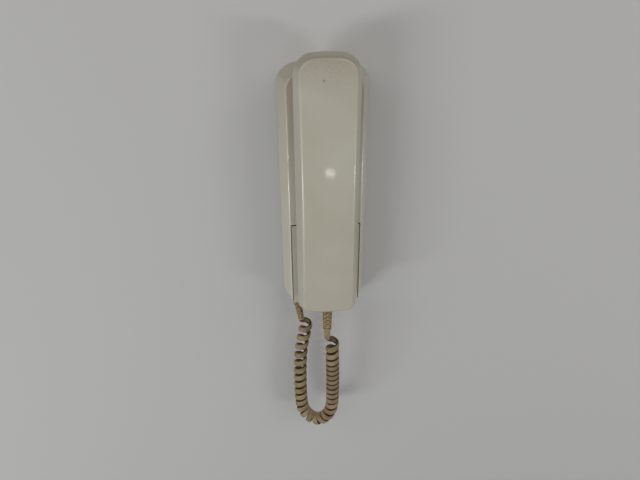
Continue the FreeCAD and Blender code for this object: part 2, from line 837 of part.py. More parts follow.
def crown_space(inset):
    """Space behind the crowned front face: an arc across the handset, swept along its length."""
    half = handset_width
    radius = crown_across - inset
    front = handset_front - inset
    edge = front - radius + math.sqrt(radius ** 2 - half ** 2)
    left, right = [point(x, edge, handset_middle) for x in (-half, half)]
    back_left, back_right = [point(x, handset_rear, handset_middle) for x in (-half, half)]
    profile = Part.Face(Part.Wire([
        Part.Arc(left, point(0, front, handset_middle), right).toShape(),
        Part.LineSegment(right, back_right).toShape(),
        Part.LineSegment(back_right, back_left).toShape(),
        Part.LineSegment(back_left, left).toShape(),
    ]))
    centre = point(0, handset_front - crown_along, handset_middle)
    sweep = math.degrees(handset_length / crown_along)
    profile.rotate(centre, FreeCAD.Vector(1, 0, 0), -sweep)
    return profile.revolve(centre, FreeCAD.Vector(1, 0, 0), 2 * sweep)


def front_shell_body(inset):
    """Front half between the parting line and the crowned front face."""
    at_front = [front_width / 2, handset_top - front_top_inset, handset_bottom + front_bottom_inset,
                front_top_corner, front_bottom_corner, handset_top_bow, handset_bottom_bow]
    depths = (parting, handset_front + overcut)
    ends = []
    for depth in depths:
        form = form_at(handset_parting_form(), parting, at_front, handset_front, depth)
        ends.append(outline(shrunk(form, inset), depth))
    return Part.makeLoft(ends, True, True).common(crown_space(inset))


def rear_shell_body(inset, rear):
    """Rear half between the parting line and the flat rear face."""
    at_parting = shrunk(handset_parting_form(), parting_step)
    at_rear = [rear_width / 2, handset_top - rear_end_inset, handset_bottom + rear_end_inset,
               front_top_corner, front_bottom_corner, handset_top_bow, handset_bottom_bow]
    ends = []
    for depth in (parting, rear):
        form = form_at(at_parting, parting, at_rear, handset_rear, depth)
        ends.append(outline(shrunk(form, inset), depth))
    return Part.makeLoft(ends, True, True)


def handset_screw_seat():
    return handset_rear + handset_screw_sink


def receiver_z():
    """Height of the receiver: the middle of the slanted ear cap's inside."""
    return slant_height(ear_z, cap_face + handset_wall + gasket_thickness + receiver_height / 2)


def microphone_z():
    return slant_height(mouth_z, cap_face + handset_wall + holder_floor + microphone_height / 2)


def receiver_back():
    return cap_face + handset_wall + gasket_thickness + receiver_height


def handset_front_shell():
    body = front_shell_body(0)
    front = min(body.Faces, key=lambda face: face.CenterOfMass.y)
    body = body.makeFillet(front_round, front.OuterWire.Edges)
    inner = front_shell_body(handset_wall)
    pieces = [body.cut(inner)]
    boss_start = handset_rear + handset_boss_height + seat_clearance
    for z in handset_screw_z:
        pieces.append(post(0, z, handset_boss_radius, boss_start, handset_front - handset_wall))
    rib_start = receiver_back() + pad_thickness + rib_gap
    for z in (receiver_z() - rib_spread / 2, receiver_z() + rib_spread / 2):
        low, high = z - rib_thickness / 2, z + rib_thickness / 2
        rib = block(-handset_width, handset_width, parting, handset_front, low, high)
        tongue = block(-pad_radius / 2, pad_radius / 2, rib_start, parting + handset_wall, low, high)
        pieces += [rib.common(body), tongue]
    shell = fused(pieces)
    pilot_end = handset_screw_seat() + handset_screw_length + thread_clearance
    cuts = [post(0, z, screw_shank / 2 + thread_clearance, handset_rear, pilot_end) for z in handset_screw_z]
    cuts += boot_seat(*handset_boot_place(), handset_boot_top)
    mark_z = handset_top - gate_mark_from_top
    crown_drop = (mark_z - handset_middle) ** 2 / (2 * crown_along) + gate_mark_x ** 2 / (2 * crown_across)
    ball = (gate_mark_radius ** 2 + gate_mark_depth ** 2) / (2 * gate_mark_depth)
    mark_depth = handset_front - crown_drop - gate_mark_depth + ball
    cuts.append(Part.makeSphere(ball, point(gate_mark_x, mark_depth, mark_z)))
    return shell.cut(cuts)


def cap_holes(z, radius, circle, count):
    holes = [post(0, z, radius, cap_face - overcut, cap_face + handset_wall + overcut)]
    for index in range(count):
        angle = 2 * math.pi * index / count
        holes.append(post(circle * math.cos(angle), z + circle * math.sin(angle), radius,
                          cap_face - overcut, cap_face + handset_wall + overcut))
    return holes


def handset_rear_shell():
    body = rear_shell_body(0, handset_rear)
    rear = max(body.Faces, key=lambda face: face.CenterOfMass.y)
    body = body.makeFillet(rear_round, rear.OuterWire.Edges)
    caps, bores = [], []
    for z, radius in ((ear_z, ear_cap_radius), (mouth_z, mouth_cap_radius)):
        cap = slanted(z, radius, cap_face, handset_rear + handset_wall)
        face = max(cap.Faces, key=lambda side: side.CenterOfMass.y)
        caps.append(cap.makeFillet(cap_round, face.Edges))
        bore_end = handset_rear + handset_wall + overcut
        bores.append(slanted(z, radius - handset_wall, cap_face + handset_wall, bore_end))
    inner = rear_shell_body(handset_wall, handset_rear + handset_wall)
    shell = fused([body] + caps).cut([inner] + bores)
    inside = cap_face + handset_wall
    holder_radius = microphone_radius + holder_clearance + holder_wall
    socket_bore = holder_radius + socket_clearance
    rim = inside + socket_height
    socket = post(0, microphone_z(), socket_bore + socket_wall, inside - handset_wall / 2, rim)
    socket = socket.cut(post(0, microphone_z(), socket_bore, inside, rim + overcut))
    pieces = [shell, socket]
    for z in handset_screw_z:
        boss_end = handset_rear + handset_boss_height
        pieces.append(post(0, z, handset_boss_radius, handset_rear + handset_wall / 2, boss_end))
    shell = fused(pieces)
    cuts = cap_holes(receiver_z(), ear_hole_radius, ear_hole_circle, ear_hole_count)
    cuts += cap_holes(microphone_z(), mouth_hole_radius, mouth_hole_circle, mouth_hole_count)
    for z in handset_screw_z:
        room = screw_head / 2 + handset_screw_room
        cuts.append(post(0, z, room, handset_rear - overcut, handset_screw_seat()))
        cuts.append(post(0, z, screw_shank / 2 + thread_clearance, handset_rear, parting))
    cuts += boot_seat(*handset_boot_place(), handset_boot_top)
    return shell.cut(cuts)


def handset_screws():
    seat = handset_screw_seat()
    return Part.makeCompound([screw(0, z, seat, forward, handset_screw_length) for z in handset_screw_z])


def receiver_parts():
    """Gasket on the ear cap's inside, the receiver capsule on it, and the foam pad behind."""
    z = receiver_z()
    low = cap_face + handset_wall
    face = low + gasket_thickness
    gasket = post(0, z, receiver_radius, low, face)
    gasket = gasket.cut(post(0, z, receiver_radius - gasket_width, low - overcut, face + overcut))
    step = receiver_radius - receiver_back_step
    capsule = turned([(0, face), (receiver_radius, face), (receiver_radius, face + receiver_height / 2),
                      (step, face + receiver_height / 2), (step, receiver_back()), (0, receiver_back())], 0, z)
    pad = post(0, z, pad_radius, receiver_back(), receiver_back() + pad_thickness)
    return capsule, gasket, pad


def microphone_parts():
    z = microphone_z()
    low = cap_face + handset_wall
    seat = low + holder_floor
    bore = microphone_radius + holder_clearance
    holder = post(0, z, bore + holder_wall, low, seat + microphone_height)
    holder = holder.cut([post(0, z, bore, seat, seat + microphone_height + overcut),
                         post(0, z, mouth_hole_circle + mouth_hole_radius, low - overcut, seat + overcut)])
    return post(0, z, microphone_radius, seat, seat + microphone_height), holder


def handset_leads():
    """Two inner leads, from the cord's end to the microphone and to the receiver."""
    start_z = handset_bottom + boot_wall + boot_collar + boot_clearance + seat_clearance
    floor = handset_rear + handset_wall + lead_lift
    mic_back = cap_face + handset_wall + holder_floor + microphone_height + seat_clearance
    to_microphone = [
        point(-lead_spread, parting, start_z),
        point(-lead_spread, parting, start_z + lead_bend),
        point(-lead_spread, floor, microphone_z()),
        point(-lead_spread, mic_back, microphone_z()),
    ]
    beside = handset_boss_radius + lead_lift
    rim = receiver_radius - receiver_back_step / 2
    end_z = receiver_z() - math.sqrt(rim ** 2 - beside ** 2)
    rim_back = cap_face + handset_wall + gasket_thickness + receiver_height / 2 + seat_clearance
    to_receiver = [
        point(lead_spread, parting, start_z),
        point(lead_spread, parting, start_z + lead_bend),
        point(beside + lead_lift, floor + lead_bend, mouth_z),
        point(beside, floor, handset_screw_z[1]),
        point(beside + lead_lift, floor, (handset_screw_z[0] + handset_screw_z[1]) / 2),
        point(beside, floor, handset_screw_z[0]),
        point(beside, floor + lead_lift, end_z),
        point(beside, rim_back, end_z),
    ]
    tubes = []
    for points in (to_microphone, to_receiver):
        edges, radii = rounded_route(points, lead_turn)
        print("lead radii " + " ".join("%.1f" % radius for radius in radii))
        tubes.append(round_tube(edges, lead_radius))
    return Part.makeCompound(tubes)


def boot_slots(top_radius, tip_radius):
    """Rows of four short slots round the boot's tail, each row turned half a slot from the one before."""
    span = boot_length - boot_tip_length - boot_shoulder - boot_slot_width
    slots = []
    for row in range(boot_slot_rows):
        start = boot_shoulder + span * row / (boot_slot_rows - 1)
        radius = top_radius + (tip_radius - top_radius) * start / boot_length
        low = FreeCAD.Vector(0, 0, -start - boot_slot_width)
        ring = Part.makeCylinder(top_radius + overcut, boot_slot_width, low)
        ring = ring.cut(Part.makeCylinder(radius - boot_slot_depth, boot_slot_width, low))
        reach = top_radius + 2 * overcut
        for turn in (0, 90):
            bar = Part.makeBox(2 * reach, boot_slot_bridge, boot_slot_width,
                               low - FreeCAD.Vector(reach, boot_slot_bridge / 2, 0))
            bar.rotate(low, up, turn + 45 * (row % 2))
            ring = ring.cut(bar)
        slots += ring.Solids
    return slots


def cord_boot(place, direction, top_radius, tip_radius):
    """Strain relief: collar inside the wall, neck through it, and a tapered slotted tail outside."""
    inside = boot_wall + boot_clearance
    top = -inside - boot_collar
    profile = [(0, top), (boot_collar_radius, top), (boot_collar_radius, -inside),
               (boot_neck_radius, -inside), (boot_neck_radius, boot_clearance),
               (top_radius, boot_clearance), (tip_radius, boot_length), (0, boot_length)]
    corners = [FreeCAD.Vector(radius, 0, -along) for radius, along in profile]
    face = Part.Face(Part.makePolygon(corners + corners[:1]))
    boot = face.revolve(FreeCAD.Vector(0, 0, 0), up, 360).cut(boot_slots(top_radius, tip_radius))
    boot.Placement = FreeCAD.Placement(place, FreeCAD.Rotation(FreeCAD.Vector(0, 0, -1), direction))
    return boot


def coil_sides():
    """Which way the coil's axis lies from the cord where it leaves each boot: base, then handset."""
    base_way = base_boot_place()[1]
    side = FreeCAD.Vector(1, -1, 0)
    return (side - base_way * side.dot(base_way)).normalize(), FreeCAD.Vector(1, 0, 0)


def coil_axis():
    """The coil's axis: beside the base's boot, down, round and up to beside the handset's boot."""
    base_place, base_way = base_boot_place()
    handset_place, handset_way = handset_boot_place()
    base_side, handset_side = coil_sides()
    start = base_place + base_way * boot_length + base_side * coil_radius
    end = handset_place + handset_way * boot_length + handset_side * coil_radius
    points = [start, start + base_way * first_run]
    points += [point(*place) for place in coil_axis_points]
    points += [end + handset_way * last_run, end]
    edges, radii = rounded_route(points, axis_bend)
    print("coil axis radii " + " ".join("%.0f" % radius for radius in radii))
    return edges


def curly_cord():
    """One tube from boot to boot that winds round the coil's axis, and runs straight at its two ends."""
    axis = coil_axis()
    lengths = [edge.Length for edge in axis]
    total = sum(lengths)
    first = axis[0].valueAt(axis[0].FirstParameter)
    last = axis[-1].valueAt(axis[-1].LastParameter)
    across = FreeCAD.Vector(last.x - first.x, last.y - first.y, 0)
    normal = across.cross(up).normalize()

    def axis_at(distance):
        index = 0
        while index < len(axis) - 1 and distance > lengths[index]:
            distance -= lengths[index]
            index += 1
        edge = axis[index]
        parameter = edge.getParameterByLength(min(distance, lengths[index]))
        return edge.valueAt(parameter), edge.tangentAt(parameter)

    def winding_rate(distance):
        from_base = (distance - base_straight) / base_run_in
        from_handset = (total - distance - handset_straight) / handset_run_in
        eased = min(max(min(from_base, from_handset), 0.0), 1.0)
        place = distance / total * (len(coil_pitches) - 1)
        index = min(int(place), len(coil_pitches) - 2)
        pitch = coil_pitches[index] + (coil_pitches[index + 1] - coil_pitches[index]) * (place - index)
        return eased * eased * (3 - 2 * eased) / pitch

    def side_vectors(tangent):
        sideways = normal.cross(tangent).normalize()
        return sideways, tangent.cross(sideways)

    def angle_towards(distance, wanted):
        sideways, outwards = side_vectors(axis_at(distance)[1])
        return math.atan2(wanted.dot(outwards), wanted.dot(sideways))

    steps = 2400
    winding = [0.0]
    for index in range(steps):
        winding.append(winding[-1] + winding_rate(total * (index + 0.5) / steps))
    base_side, handset_side = coil_sides()
    first_angle = angle_towards(0, -base_side)
    last_angle = angle_towards(total, -handset_side)
    sweep = 2 * math.pi * coil_turns + (last_angle - first_angle) % (2 * math.pi)

    def cord_at(distance):
        position = distance / total * steps
        index = min(int(position), steps - 1)
        wound = winding[index] + (winding[index + 1] - winding[index]) * (position - index)
        angle = first_angle + sweep * wound / winding[-1]
        middle, tangent = axis_at(distance)
        sideways, outwards = side_vectors(tangent)
        return middle + sideways * (coil_radius * math.cos(angle)) + outwards * (coil_radius * math.sin(angle))

    def heading_at(distance):
        low, high = max(distance - 0.02, 0.0), min(distance + 0.02, total)
        return (cord_at(high) - cord_at(low)).normalize()

    quarter = winding[-1] * (math.pi / 2) / sweep
    places, wanted = [0.0, base_straight], quarter / 2
    for index in range(steps):
        if winding[index + 1] >= wanted:
            share = (wanted - winding[index]) / (winding[index + 1] - winding[index])
            places.append(total * (index + share) / steps)
            wanted += quarter
    last_bend = total - handset_straight
    places = [place for place in places if place < last_bend - cord_diameter / 4] + [last_bend, total]
    edges = []
    for start, end in zip(places, places[1:]):
        edges += biarc(cord_at(start), heading_at(start), cord_at(end), heading_at(end))
    tube = round_tube(edges, cord_diameter / 2)
    length = sum(edge.Length for edge in edges)
    section = math.pi * cord_diameter ** 2 / 4
    tightest = min(edge.Curve.Radius for edge in edges if isinstance(edge.Curve, Part.Circle))
    samples = [cord_at(total * index / 1200) for index in range(1201)]
    gap = least_self_gap(samples, cord_diameter, 30)
    print("cord length %.1f, volume ratio %.4f" % (length, tube.Volume / (section * length)))
    print("cord tightest arc %.2f, gap to itself %.2f" % (tightest, gap))
    return tube


def build():
    core, winding = transformer()
    frame, cone, magnet = speaker()
    capsule, gasket, pad = receiver_parts()
    microphone, holder = microphone_parts()
    return {
        "wall_bracket": wall_bracket(),
        "base_rear_cover": base_rear_cover(),
        "base_front_cover": base_front_cover(),
        "lower_panel": lower_panel(),
        "base_screws": base_screws(),
        "panel_screw": panel_screw(),
        "circuit_board": circuit_board(),
        "board_screws": board_screws(),
        "capacitors": capacitors(),
        "transformer_core": core,
        "transformer_coil": winding,
        "terminal_block": terminal_block(),
        "terminal_screws": terminal_screws(),
        "speaker_frame": frame,
        "speaker_cone": cone,
        "speaker_magnet": magnet,
        "hook_switch": hook_switch(),
        "hook_spring": hook_spring(),
        "hook_plunger": hook_plunger(),
        "base_cord_boot": cord_boot(*base_boot_place(), base_boot_top, base_boot_tip),
        "handset_front_shell": handset_front_shell(),
        "handset_rear_shell": handset_rear_shell(),
        "handset_screws": handset_screws(),
        "receiver_capsule": capsule,
        "receiver_gasket": gasket,
        "receiver_pad": pad,
        "microphone_capsule": microphone,
        "microphone_holder": holder,
        "handset_leads": handset_leads(),
        "handset_cord_boot": cord_boot(*handset_boot_place(), handset_boot_top, handset_boot_tip),
        "curly_cord": curly_cord(),
    }


os.makedirs("parts", exist_ok=True)
for name, shape in build().items():
    shape.exportStep("parts/%s.step" % name)
    print("%-22s solids %d valid %s volume %.0f" % (name, len(shape.Solids), shape.isValid(), shape.Volume))
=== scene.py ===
import math
from bisect import bisect_right
import bmesh
import bpy
from mathutils import Matrix, Vector


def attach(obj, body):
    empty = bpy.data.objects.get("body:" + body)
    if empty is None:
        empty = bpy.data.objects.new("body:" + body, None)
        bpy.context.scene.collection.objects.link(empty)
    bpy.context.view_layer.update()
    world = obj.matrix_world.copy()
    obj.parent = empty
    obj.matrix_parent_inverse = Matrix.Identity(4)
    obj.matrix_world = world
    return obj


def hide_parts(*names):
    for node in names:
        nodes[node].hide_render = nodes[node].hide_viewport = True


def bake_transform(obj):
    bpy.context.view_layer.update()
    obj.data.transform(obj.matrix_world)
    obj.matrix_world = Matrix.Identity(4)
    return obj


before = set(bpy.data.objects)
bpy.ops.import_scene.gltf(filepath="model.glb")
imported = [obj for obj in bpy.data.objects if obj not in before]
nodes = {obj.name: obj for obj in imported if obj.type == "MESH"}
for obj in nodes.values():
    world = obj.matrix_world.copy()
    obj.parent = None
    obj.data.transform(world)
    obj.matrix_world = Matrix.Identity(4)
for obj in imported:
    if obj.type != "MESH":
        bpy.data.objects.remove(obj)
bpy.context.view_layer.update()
scene = bpy.context.scene
print("frame loaded,", len(nodes), "nodes")


def srgb(code):  # "#rrggbb" to linear
    channels = [int(code[i:i + 2], 16) / 255 for i in (1, 3, 5)]
    return [c / 12.92 if c <= 0.04045 else ((c + 0.055) / 1.055) ** 2.4 for c in channels] + [1.0]


def smooth(share):  # from 0 to 1, easing at both ends
    share = min(max(share, 0.0), 1.0)
    return share * share * (3 - 2 * share)


def addNode(tree, kind, settings=None, links=None):
    node = tree.nodes.new(kind)
    for name, value in (settings or {}).items():
        if name == "stops":  # of a colour ramp
            for place, colour in value[len(node.color_ramp.elements):]:
                node.color_ramp.elements.new(place)
            for element, (place, colour) in zip(node.color_ramp.elements, value):
                element.position = place
                element.color = colour
        elif isinstance(name, int) or name in node.inputs:
            node.inputs[name].default_value = value
        else:
            setattr(node, name, value)
    for name, source in (links or {}).items():
        tree.links.new(source, node.inputs[name])
    return node


def newMaterial(name, settings):
    material = bpy.data.materials.new(name)
    material.use_nodes = True
    tree = material.node_tree
    shader = tree.nodes["Principled BSDF"]
    for socket, value in settings.items():
        shader.inputs[socket].default_value = value
    coords = addNode(tree, "ShaderNodeTexCoord").outputs["Object"]
    return material, tree, shader, coords


def linkObject(name, data):
    obj = bpy.data.objects.new(name, data)
    scene.collection.objects.link(obj)
    return obj


def plainMesh(obj):  # what the object's curve or modifiers give
    bpy.context.view_layer.update()
    return bpy.data.meshes.new_from_object(obj.evaluated_get(bpy.context.evaluated_depsgraph_get()))


# camera at the photograph's viewing angle, fitted to the object's edges
cameraPlace = {
    "place": (-0.035097, -0.39527, 0.127492),
    "right": (0.99648, -0.08369, -0.00552),
    "up": (0.03935, 0.40839, 0.91196),
    "ahead": (0.07407, 0.90896, -0.41024),
    "focalPixels": 480.95,
    "frameWidth": 640,
    "sensorWidth": 36.0,  # millimetres
    "nearest": 0.01,
}


def makeCamera(sizes):
    data = bpy.data.cameras.new("camera")
    data.sensor_width = sizes["sensorWidth"]
    data.lens = sizes["sensorWidth"] * sizes["focalPixels"] / sizes["frameWidth"]
    data.clip_start = sizes["nearest"]
    camera = linkObject("camera", data)
    right, up, ahead = (Vector(sizes[key]) for key in ("right", "up", "ahead"))
    turn = Matrix((right, up, -ahead)).transposed().to_4x4()
    camera.matrix_world = Matrix.Translation(sizes["place"]) @ turn
    scene.camera = camera


makeCamera(cameraPlace)
print("camera placed")

# curly cord: soft PVC, extruded flat oval and heat set in a coil
curlyCord = {
    "axis": [
        (-0.018628, -0.017346, -0.124168),
        (-0.017808, -0.017464, -0.128591),
        (-0.0203, -0.0179, -0.1410),
        (-0.0228, -0.0184, -0.1530),
        (-0.0242, -0.0192, -0.1700),
        (-0.0246, -0.0203, -0.1900),
        (-0.0246, -0.0213, -0.2070),
        (-0.0237, -0.0226, -0.2225),
        (-0.0198, -0.0240, -0.2302),
        (-0.0140, -0.0258, -0.2349),
        (-0.0076, -0.0280, -0.2354),
        (-0.0016, -0.0302, -0.2311),
        (0.0028, -0.0325, -0.2233),
        (0.0052, -0.0347, -0.2120),
        (0.0054, -0.0366, -0.1960),
        (0.0054, -0.0379, -0.1780),
        (0.0049, -0.0388, -0.1580),
        (0.0046, -0.0391, -0.1430),
        (0.0046, -0.0390, -0.1303),
        (0.0046, -0.0390, -0.1208),
    ],
    "axisSteps": 40,  # between two points of the axis
    "tangentReach": 0.002,  # each way along the axis, to read its direction
    "coilRadius": 0.0047,
    "turns": 30,
    # from the base to the handset at equal steps, in proportion
    "pitches": [9.2, 9.3, 8.9, 7.7, 7.2, 6.2, 6.5, 8.9, 6.5, 5.5, 5.3, 8.4, 13.0],
    "straightEnds": (0.0, 0.0065),  # at the base, at the handset
    "runIns": (0.0030, 0.0095),  # lengths in which the winding eases in, at the same two ends
    "endSpokes": ((-0.68777, 0.71101, -0.14641), (-1, 0, 0)),  # from the axis to the cord at its two ends
    "bandWidth": 0.0053,
    "bandThickness": 0.0031,
    "squareness": 3.0,  # of the band's section
    "closePitches": (0.0076, 0.0060),  # turns this near start to take painted shade at their edges, and take the most
    "gapShadeReach": 0.62,  # how far that painted shade comes round onto the outer face, of its half width
    "endTwist": 90.0,  # degrees, so that the cord leaves the handset flat side forward
    "twistRun": (0.016, 0.005),  # from and to, before the handset's boot
    "stepsPerTurn": 30,
    "windingSteps": 4000,  # along the axis, in which the turns are added up
    "sides": 16,
}


def readRoute(points, steps):
    curve = bpy.data.curves.new("coilAxis", "CURVE")
    curve.dimensions = "3D"
    spline = curve.splines.new("NURBS")
    spline.points.add(len(points) - 1)
    for target, place in zip(spline.points, points):
        target.co = (*place, 1.0)
    spline.order_u = 3
    spline.use_endpoint_u = True
    spline.resolution_u = steps
    holder = linkObject("coilAxis", curve)
    line = plainMesh(holder)
    read = [v.co.copy() for v in line.vertices]
    bpy.data.objects.remove(holder)
    bpy.data.curves.remove(curve)
    bpy.data.meshes.remove(line)
    return read


def windCord(sizes):
    route = readRoute(sizes["axis"], sizes["axisSteps"])
    along = [0.0]
    for a, b in zip(route, route[1:]):
        along.append(along[-1] + (b - a).length)
    total = along[-1]
    across = route[-1] - route[0]
    normal = Vector((across.x, across.y, 0)).cross(Vector((0, 0, 1))).normalized()

    def placeAt(distance):
        distance = min(max(distance, 0.0), total)
        low = min(bisect_right(along, distance), len(along) - 1) - 1
        share = (distance - along[low]) / (along[low + 1] - along[low])
        return route[low].lerp(route[low + 1], share)

    def frameAt(distance):
        reach = sizes["tangentReach"]
        tangent = (placeAt(distance + reach) - placeAt(distance - reach)).normalized()
        sideways = normal.cross(tangent).normalized()
        return sideways, tangent.cross(sideways)

    def rate(distance):  # turns per length, easing in from the straight ends
        fromBase = (distance - sizes["straightEnds"][0]) / sizes["runIns"][0]
        fromHandset = (total - distance - sizes["straightEnds"][1]) / sizes["runIns"][1]
        pitches = sizes["pitches"]
        place = distance / total * (len(pitches) - 1)
        low = min(int(place), len(pitches) - 2)
        pitch = pitches[low] + (pitches[low + 1] - pitches[low]) * (place - low)
        return smooth(min(fromBase, fromHandset)) / pitch

    def angleTo(distance, wanted):
        sideways, outwards = frameAt(distance)
        return math.atan2(Vector(wanted).dot(outwards), Vector(wanted).dot(sideways))

    fine = sizes["windingSteps"]
    wound = [0.0]
    for index in range(fine):
        wound.append(wound[-1] + rate(total * (index + 0.5) / fine))
    first = angleTo(0.0, sizes["endSpokes"][0])
    last = angleTo(total, sizes["endSpokes"][1])
    sweep = math.tau * sizes["turns"] + (last - first) % math.tau
    count = sizes["turns"] * sizes["stepsPerTurn"]
    twistFrom, twistTo = sizes["twistRun"]
    middles, spokes, twists, angles = [], [], [], []
    for index in range(count + 1):
        distance = total * index / count
        position = distance / total * fine
        low = min(int(position), fine - 1)
        turned = wound[low] + (wound[low + 1] - wound[low]) * (position - low)
        angle = first + sweep * turned / wound[-1]
        sideways, outwards = frameAt(distance)
        spoke = sideways * math.cos(angle) + outwards * math.sin(angle)
        middles.append(placeAt(distance) + spoke * sizes["coilRadius"])
        spokes.append(spoke)
        near = (distance - total + twistFrom) / (twistFrom - twistTo)
        twists.append(math.radians(sizes["endTwist"]) * smooth(near))
        angles.append(angle)
    loose, close = sizes["closePitches"]
    # painted shade in the gaps between turns that lie close: it lowers outerFace, so the edges of those turns
    # darken
    gapShades = []
    for a, b in zip(angles, angles[1:]):
        pitch = math.tau * total / count / max(b - a, 1e-6)  # the straight end doesn't turn
        gapShades.append(sizes["gapShadeReach"] * min(max((loose - pitch) / (loose - close), 0.0), 1.0))
    gapShades.append(gapShades[-1])
    return middles, spokes, twists, gapShades


def bandMesh(sizes, middles, spokes, twists, gapShades):
    sides = sizes["sides"]
    power = 2 / sizes["squareness"]
    halfThick, halfWide = sizes["bandThickness"] / 2, sizes["bandWidth"] / 2
    section = []
    for index in range(sides):
        angle = math.tau * (index + 0.5) / sides
        c, s = math.cos(angle), math.sin(angle)
        section.append((math.copysign(abs(c) ** power, c), math.copysign(abs(s) ** power, s)))
    verts, faces, facing = [], [], []
    for index, (middle, spoke) in enumerate(zip(middles, spokes)):
        ahead = middles[min(index + 1, len(middles) - 1)] - middles[max(index - 1, 0)]
        ahead.normalize()
        flat = ahead.cross(spoke).normalized()
        wide = flat * math.cos(twists[index]) - flat.cross(ahead) * math.sin(twists[index])
        thin = wide.cross(ahead)
        for c, s in section:
            verts.append(middle + thin * (c * halfThick) + wide * (s * halfWide))
            facing.append(c - gapShades[index])
    for ring in range(len(middles) - 1):
        for side in range(sides):
            after = (side + 1) % sides
            faces.append((ring * sides + side, ring * sides + after,
                          (ring + 1) * sides + after, (ring + 1) * sides + side))
    faces.append(tuple(reversed(range(sides))))
    faces.append(tuple(range((len(middles) - 1) * sides, len(middles) * sides)))
    mesh = bpy.data.meshes.new("curlyCordBand")
    mesh.from_pydata(verts, [], faces)
    mesh.polygons.foreach_set("use_smooth", [True] * len(mesh.polygons))
    shade = mesh.attributes.new("outerFace", "FLOAT", "POINT")  # 1 on the coil's outside, -1 inside, less the painted shade where turns lie close
    shade.data.foreach_set("value", facing)
    shape = bmesh.new()
    shape.from_mesh(mesh)
    bmesh.ops.recalc_face_normals(shape, faces=shape.faces)
    shape.to_mesh(mesh)
    shape.free()
    return mesh


cordLook = {
    # painted shade: the coil's inside is drawn darker than the face, and the edges of each turn darker still
    "shadedInside": "#6a5637",
    "edge": "#241704",
    "face": "#88785e",
    "soil": "#a0906e",
    "stops": (0.10, 0.34, 0.50, 0.76),  # painted shade inside, dark painted shade at the edges from and to, face, on the way round the band
    "wayRound": (-1.0, 0.9),  # values of outerFace at its two ends
    "patch": 11.0,  # millimetres
    "patchStops": (0.42, 0.75),
    "patchShare": 0.7,
    "grain": 1.4,  # millimetres, drawn coarser than it is so that it shows
    "roughness": (0.42, 0.6),
    "bump": 0.12,
}
bumpDepth = 0.0002  # of every finish


def pvcCord(name, look):
    # extruded soft PVC: matt, greyed in patches by soil, with painted shade on the coil's inside and dark
    # painted shade along the edges of its turns
    material, tree, shader, coords = newMaterial(name, {"IOR": 1.53, "Specular IOR Level": 0.2})
    side = addNode(tree, "ShaderNodeAttribute", {"attribute_name": "outerFace"}).outputs["Fac"]
    low, high = look["wayRound"]
    way = addNode(tree, "ShaderNodeMapRange", {"From Min": low, "From Max": high}, {"Value": side}).outputs[0]
    colours = [srgb(look[key]) for key in ("shadedInside", "edge", "edge", "face")]
    base = addNode(tree, "ShaderNodeValToRGB", {"stops": list(zip(look["stops"], colours))},
                   {"Fac": way}).outputs["Color"]
    patches = addNode(tree, "ShaderNodeTexNoise", {"Scale": 1000 / look["patch"], "Detail": 4.0},
                      {"Vector": coords}).outputs["Fac"]
    tints = ((1, 1, 1, 1), srgb(look["soil"]))
    stain = addNode(tree, "ShaderNodeValToRGB", {"stops": list(zip(look["patchStops"], tints))},
                    {"Fac": patches}).outputs["Color"]
    tint = addNode(tree, "ShaderNodeMix",
                   {"data_type": "RGBA", "blend_type": "MULTIPLY", 0: look["patchShare"]},
                   {6: base, 7: stain})
    tree.links.new(tint.outputs[2], shader.inputs["Base Color"])
    grain = addNode(tree, "ShaderNodeTexNoise", {"Scale": 1000 / look["grain"], "Detail": 3.0},
                    {"Vector": coords}).outputs["Fac"]
    low, high = look["roughness"]
    rough = addNode(tree, "ShaderNodeMapRange", {"To Min": low, "To Max": high}, {"Value": grain}).outputs[0]
    tree.links.new(rough, shader.inputs["Roughness"])
    bump = addNode(tree, "ShaderNodeBump", {"Strength": look["bump"], "Distance": bumpDepth},
                   {"Height": grain})
    tree.links.new(bump.outputs["Normal"], shader.inputs["Normal"])
    return material


cordMiddles, *cordTurns = windCord(curlyCord)
cordPiece = linkObject("curlyCordBand", bandMesh(curlyCord, cordMiddles, *cordTurns))
cordPiece.data.materials.append(pvcCord("softPvcCord", cordLook))
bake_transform(cordPiece)
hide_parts("curly_cord")

handsetLook = {
    "clean": "#a4a298",
    "yellowed": "#9e9b8d",
    "soil": "#736a57",
    "darkeningHeights": (0.080, 0.115),  # where the darkening towards the top starts, and where it is most
    "roughness": 0.34,
    "gloss": 0.15,
    "gateMarkShade": {"place": (-0.0034, -0.0499, 0.0915), "radius": 0.0013, "most": 0.8},  # painted shade filling the gate mark's hollow
}
baseLook = {
    "clean": "#b5b2a6",
    "yellowed": "#aeaa9a",
    "soil": "#6f6651",
    "darkeningHeights": (0.015, 0.115),
    "roughness": 0.36,
    "gloss": 0.25,
    "seam": {  # painted shade: a dark band in the slot above the lower panel
        "heights": (-0.0269, -0.0257),
        "halfWidth": 0.0294,
        "fade": 0.0002,
        "colour": "#1e1910",
    },
}
absSkin = {
    # five sizes in millimetres, of which the top patches and grain are drawn coarser than they are so that
    # they show
    "patch": 45.0,
    "topPatch": 1.1,
    "speck": 2.4,
    "wear": 17.0,
    "grain": 0.83,
    "patchStops": (0.32, 0.68),
    "speckStops": (0.77, 0.82),  # so near the noise's top that few show
    "dustAndShadeFacing": (0.05, 0.5),  # how far up a face looks where dust and painted shade start, and where they are thickest
    "dustAndShadeMost": 0.55,
    "roughSpread": (-0.07, 0.09),
    "coatRoughness": 0.06,
    "bump": 0.05,
}


